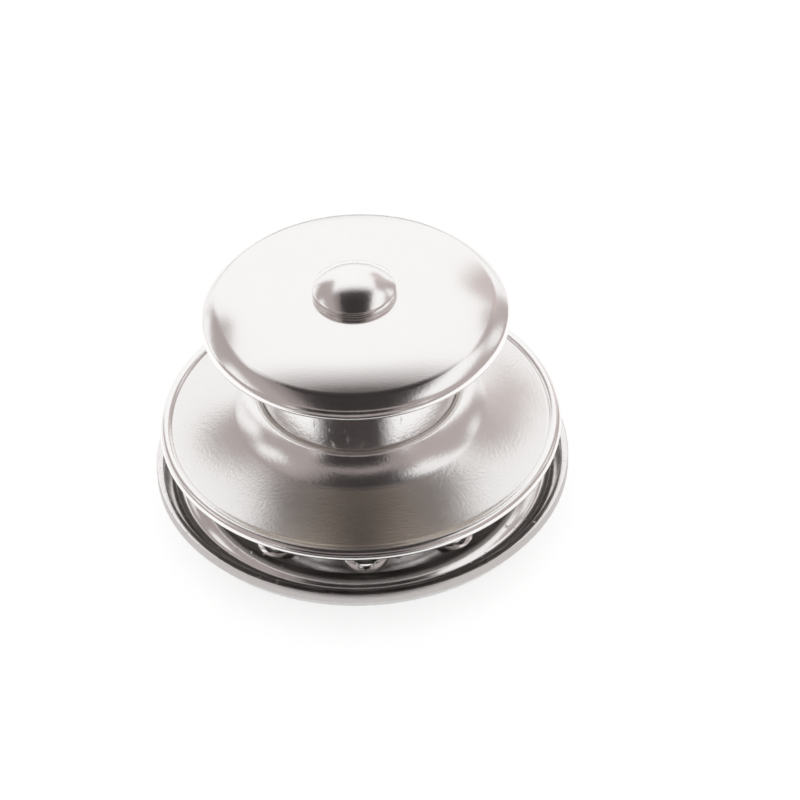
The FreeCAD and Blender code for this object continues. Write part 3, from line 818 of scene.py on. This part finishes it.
def sleeve():
    outer = high("locking_sleeve").x
    foot = low("locking_sleeve").z
    top = high("locking_sleeve").z
    web = top - WEB_THICKNESS
    inner_foot = outer - SLEEVE_WALL
    land = inner_foot - CONE_SLOPE * CONE_HEIGHT
    land_height = foot + CONE_HEIGHT
    shoulder = foot + SLEEVE_SKIRT
    upper = outer - SLEEVE_STEP
    outline = [(inner_foot, foot), (outer, foot), (outer, shoulder), (upper, shoulder), (upper, top)]
    outline += [(WEB_HOLE, top), (WEB_HOLE, web), (land, web), (land, land_height)]
    body = turned("sliding_sleeve", outline, AROUND_INSIDE)
    soften(body, 0.04)
    return body


def rivet_washer():
    outer = high("pin_washer").x
    foot = low("pin_washer").z
    top = high("pin_washer").z
    outline = [(PIN_WASHER_HOLE, foot), (outer, foot), (outer, top), (PIN_WASHER_HOLE, top)]
    ring = turned("rivet_washer", outline, 96)
    soften(ring, 0.05)
    return ring


def ball(number):
    box_low, box_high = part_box("lock_ball_%d" % number)
    centre = (box_low + box_high) / 2
    radius = (box_high.z - box_low.z) / 2
    bpy.ops.object.select_all(action="DESELECT")
    bpy.ops.mesh.primitive_ico_sphere_add(subdivisions=5, radius=radius, location=centre)
    sphere = bpy.context.object
    sphere.name = "bearing_ball_%d" % number
    bpy.ops.object.transform_apply(location=True, rotation=True, scale=True)
    bpy.ops.object.shade_smooth()
    return sphere


def spring():
    """Round wire coiled up between the sleeve and the housing's roof."""
    first = high("locking_sleeve").z + WIRE_RADIUS + PRESS_GAP
    last = high("lock_housing").z - ROOF - WIRE_RADIUS - PRESS_GAP
    add_profile(12, SPRING_RADIUS, WIRE_RADIUS, WIRE_RADIUS, first)
    coiled = wound("coiled_spring", first, last, SPRING_TURNS, 48)
    only(coiled)
    bpy.ops.object.shade_smooth_by_angle(angle=math.radians(50))
    return coiled


def build_pieces():
    finish = make_materials()
    cap = knob_cap()
    seat(cap, "knob", "knob_cap", "satin_nickel", finish["dome"], finish["bright"], finish["inside"])
    rim_start = high("knob_cap").x - 0.7
    paint_where(cap, 1, lambda radius, height, normal: radius > rim_start)
    # Faces looking down under the knob get the dark nickel: painted shade.
    paint_where(cap, 2, lambda radius, height, normal: normal.z < -0.9)
    seat(knob_plate(), "knob", "knob_back_plate", "plated_brass", finish["brass"])
    seat(pin(), "knob", "pull_pin", "polished_nickel", finish["bright"])
    seat(rivet_washer(), "knob", "pin_washer", "bearing_steel", finish["steel"])
    seat(housing(), "socket", "lock_housing", "polished_nickel", finish["neck"])
    bell = flange()
    seat(bell, "socket", "flange_shell", "satin_nickel", finish["satin"], finish["bright"], finish["inside"])
    bead_start = high("flange_shell").x - BEAD_RADIUS * (1 + math.cos(CREASE_TURN)) + 0.01
    paint_where(bell, 1, lambda radius, height, normal: radius > bead_start)
    # Faces looking down under the hem by the bead get the dark nickel: painted shade.
    paint_where(bell, 2, lambda radius, height, normal: radius < bead_start + 0.2 and normal.z < -0.3)
    seat(guide(), "socket", "stud_guide", "plated_brass", finish["brass"])
    seat(cage(), "socket", "ball_cage", "plated_brass", finish["brass"])
    seat(sleeve(), "sleeve", "locking_sleeve", "plated_brass", finish["brass"])
    coil = spring()
    seat(coil, "socket", "return_spring", "spring_wire", finish["wire"])
    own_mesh(coil)
    for number in range(1, BALLS + 1):
        seat(ball(number), "ball_%d" % number, "lock_ball_%d" % number, "bearing_steel", finish["steel"])
    dished = washer()
    seat(dished, "washer", "claw_washer", "washer_nickel", finish["washer"], finish["edge"])
    # The washer's rim wall gets the darker cut edge tone: painted shade.
    rim = high("claw_washer").x - 0.06
    paint_where(dished, 1, lambda radius, height, normal: radius > rim and abs(normal.z) < 0.5)
    seat(nut(), "nut", "ring_nut", "washer_nickel", finish["washer"])


# Stage, light and camera

AIM_HEIGHT = 4.85
CAMERA_DISTANCE = 260.0
CAMERA_ELEVATION = math.radians(41.36)
CAMERA_ROLL = math.radians(-2.40)
CAMERA_ACROSS = 1.96
CAMERA_UP = 1.05
CAMERA_LENS = 234.8


def place_camera():
    back = Vector((0, -math.cos(CAMERA_ELEVATION), math.sin(CAMERA_ELEVATION)))
    level = Vector((1, 0, 0))
    upright = back.cross(level)
    right = level * math.cos(CAMERA_ROLL) + upright * math.sin(CAMERA_ROLL)
    up = upright * math.cos(CAMERA_ROLL) - level * math.sin(CAMERA_ROLL)
    spot = back * CAMERA_DISTANCE + right * CAMERA_ACROSS + up * CAMERA_UP + Vector((0, 0, AIM_HEIGHT))
    data = bpy.data.cameras.new("camera")
    data.lens = CAMERA_LENS
    data.sensor_width = 36.0
    data.clip_start = 0.01
    data.clip_end = 20.0
    camera = bpy.data.objects.new("camera", data)
    turn = Matrix((right, up, back)).transposed().to_4x4()
    camera.matrix_world = Matrix.Translation(spot * MM) @ turn
    bpy.context.scene.collection.objects.link(camera)
    bpy.context.scene.camera = camera


def seen_ray(tree):
    """1 for rays from the camera, or by way of a mirror or glass."""
    path = add_node(tree, "ShaderNodeLightPath")
    seen = arithmetic(tree, "MAXIMUM", path.outputs["Is Camera Ray"], path.outputs["Is Glossy Ray"])
    return arithmetic(tree, "MAXIMUM", seen, path.outputs["Is Transmission Ray"])


def white_floor():
    bpy.ops.object.select_all(action="DESELECT")
    bpy.ops.mesh.primitive_plane_add(size=3.0, location=(0, 0, 0))
    floor = bpy.context.object
    floor.name = "floor"
    material = bpy.data.materials.new("white floor")
    material.use_nodes = True
    tree = material.node_tree
    tree.nodes.remove(tree.nodes["Principled BSDF"])
    matt = add_node(tree, "ShaderNodeBsdfDiffuse")
    matt.inputs["Color"].default_value = (0.55, 0.55, 0.55, 1)
    glow = add_node(tree, "ShaderNodeEmission")
    wire(tree, arithmetic(tree, "MULTIPLY", seen_ray(tree), 0.60), glow.inputs["Strength"])
    both = add_node(tree, "ShaderNodeAddShader")
    wire(tree, matt.outputs[0], both.inputs[0])
    wire(tree, glow.outputs[0], both.inputs[1])
    wire(tree, both.outputs[0], tree.nodes["Material Output"].inputs["Surface"])
    floor.data.materials.append(material)


def white_world():
    world = bpy.data.worlds.new("studio")
    bpy.context.scene.world = world
    world.use_nodes = True
    tree = world.node_tree
    sky = tree.nodes["Background"]
    sky.inputs["Color"].default_value = (1, 1, 1, 1)
    wire(tree, between(tree, seen_ray(tree), 0.85, 1.0), sky.inputs["Strength"])


def card(name, centre, facing, width, height, shade, softness, later_shade=None):
    """A card with soft edges that only shows in the metal, darker where metal mirrors it in metal."""
    bpy.ops.object.select_all(action="DESELECT")
    bpy.ops.mesh.primitive_plane_add(size=2.0)
    sheet = bpy.context.object
    sheet.name = name
    sheet.scale = (width / 2, height / 2, 1)
    sheet.location = centre
    sheet.rotation_mode = "QUATERNION"
    sheet.rotation_quaternion = Vector(facing).to_track_quat("Z", "Y")
    material = bpy.data.materials.new(name)
    material.use_nodes = True
    tree = material.node_tree
    tree.nodes.remove(tree.nodes["Principled BSDF"])
    glow = add_node(tree, "ShaderNodeEmission")
    glow.inputs["Color"].default_value = WARM_WHITE if shade < 0.9 else (1, 1, 1, 1)
    glow.inputs["Strength"].default_value = shade
    if later_shade is not None:
        depth = add_node(tree, "ShaderNodeLightPath").outputs["Glossy Depth"]
        later = arithmetic(tree, "GREATER_THAN", depth, 1.5)
        wire(tree, between(tree, later, shade, later_shade), glow.inputs["Strength"])
    clear = add_node(tree, "ShaderNodeBsdfTransparent")
    split = add_node(tree, "ShaderNodeSeparateXYZ")
    wire(tree, add_node(tree, "ShaderNodeTexCoord").outputs["Object"], split.inputs[0])
    edges = []
    for axis in "XY":
        away = arithmetic(tree, "SUBTRACT", 1.0, arithmetic(tree, "ABSOLUTE", split.outputs[axis], 0.0))
        edges.append(between(tree, arithmetic(tree, "DIVIDE", away, softness), 0.0, 1.0))
    mask = arithmetic(tree, "MULTIPLY", edges[0], edges[1])
    mix = add_node(tree, "ShaderNodeMixShader")
    wire(tree, mask, mix.inputs["Fac"])
    wire(tree, clear.outputs[0], mix.inputs[1])
    wire(tree, glow.outputs[0], mix.inputs[2])
    wire(tree, mix.outputs[0], tree.nodes["Material Output"].inputs["Surface"])
    sheet.data.materials.append(material)
    for ray in ("camera", "diffuse", "transmission", "volume_scatter", "shadow"):
        setattr(sheet, "visible_" + ray, False)


def towards(azimuth, elevation, distance):
    """A point seen from the part; azimuth 0 is on the camera's side and 90 on its right."""
    turn = math.radians(azimuth)
    rise = math.radians(elevation)
    level = math.cos(rise)
    return Vector((math.sin(turn) * level, -math.cos(turn) * level, math.sin(rise))) * distance


WARM_WHITE = (1.0, 0.88, 0.86, 1)

# Cards round the part: name, azimuth, elevation, distance, width, height, shade, edge softness
CARDS = [
    ("right_softbox", 90, 52, 0.94, 0.92, 0.40, 1.0, 0.30),
    ("left_softbox", -94, 32, 0.94, 0.50, 0.30, 1.0, 0.30),
    ("left_low_softbox", -124, 12, 0.95, 0.62, 0.34, 1.0, 0.25),
    ("right_low_softbox", 120, 27, 0.95, 0.26, 0.34, 0.92, 0.35),
    ("horizon_behind", 180, 0, 0.99, 1.70, 0.20, 0.10, 0.90),
    ("low_front_shade", -8, 10, 0.97, 1.36, 1.06, 0.03, 0.30),
    ("right_back_grey", 150, 28, 0.98, 0.42, 0.30, 0.60, 0.40),
    ("overhead_core", 0, 76, 1.00, 1.02, 1.27, 0.035, 0.20),
    ("left_grey", -94, 22, 1.02, 2.30, 1.50, 0.42, 0.12),
    ("right_grey", 94, 22, 1.02, 2.30, 1.50, 0.47, 0.12),
    ("overhead_grey", 0, 73.5, 1.06, 2.52, 2.00, 0.30, 0.35),
    ("front_grey", 0, 25, 1.10, 2.20, 1.90, 0.34, 0.20),
]

# Cards on the floor: name, place across, place in depth, width, depth, shade, edge softness, shade further in
FLOOR_CARDS = [
    ("floor_near_shade", -3, -23, 30, 20, 0.045, 0.35, 0.045),
    ("floor_grey", 0, -370, 1200, 700, 0.36, 0.02, 0.30),
]


def dress_stage():
    white_floor()
    white_world()
    for name, azimuth, elevation, distance, width, height, shade, softness in CARDS:
        centre = towards(azimuth, elevation, distance)
        card(name, centre, centre, width, height, shade, softness)
    for layer, (name, across, depth, width, length, shade, softness, later_shade) in enumerate(FLOOR_CARDS):
        centre = Vector((across, depth, 0.06 - 0.02 * layer)) * MM
        card(name, centre, (0, 0, 1), width * MM, length * MM, shade, softness, later_shade)


place_camera()
build_pieces()
dress_stage()

scene = bpy.context.scene
scene.view_settings.view_transform = "Standard"
scene.frame_set(1)
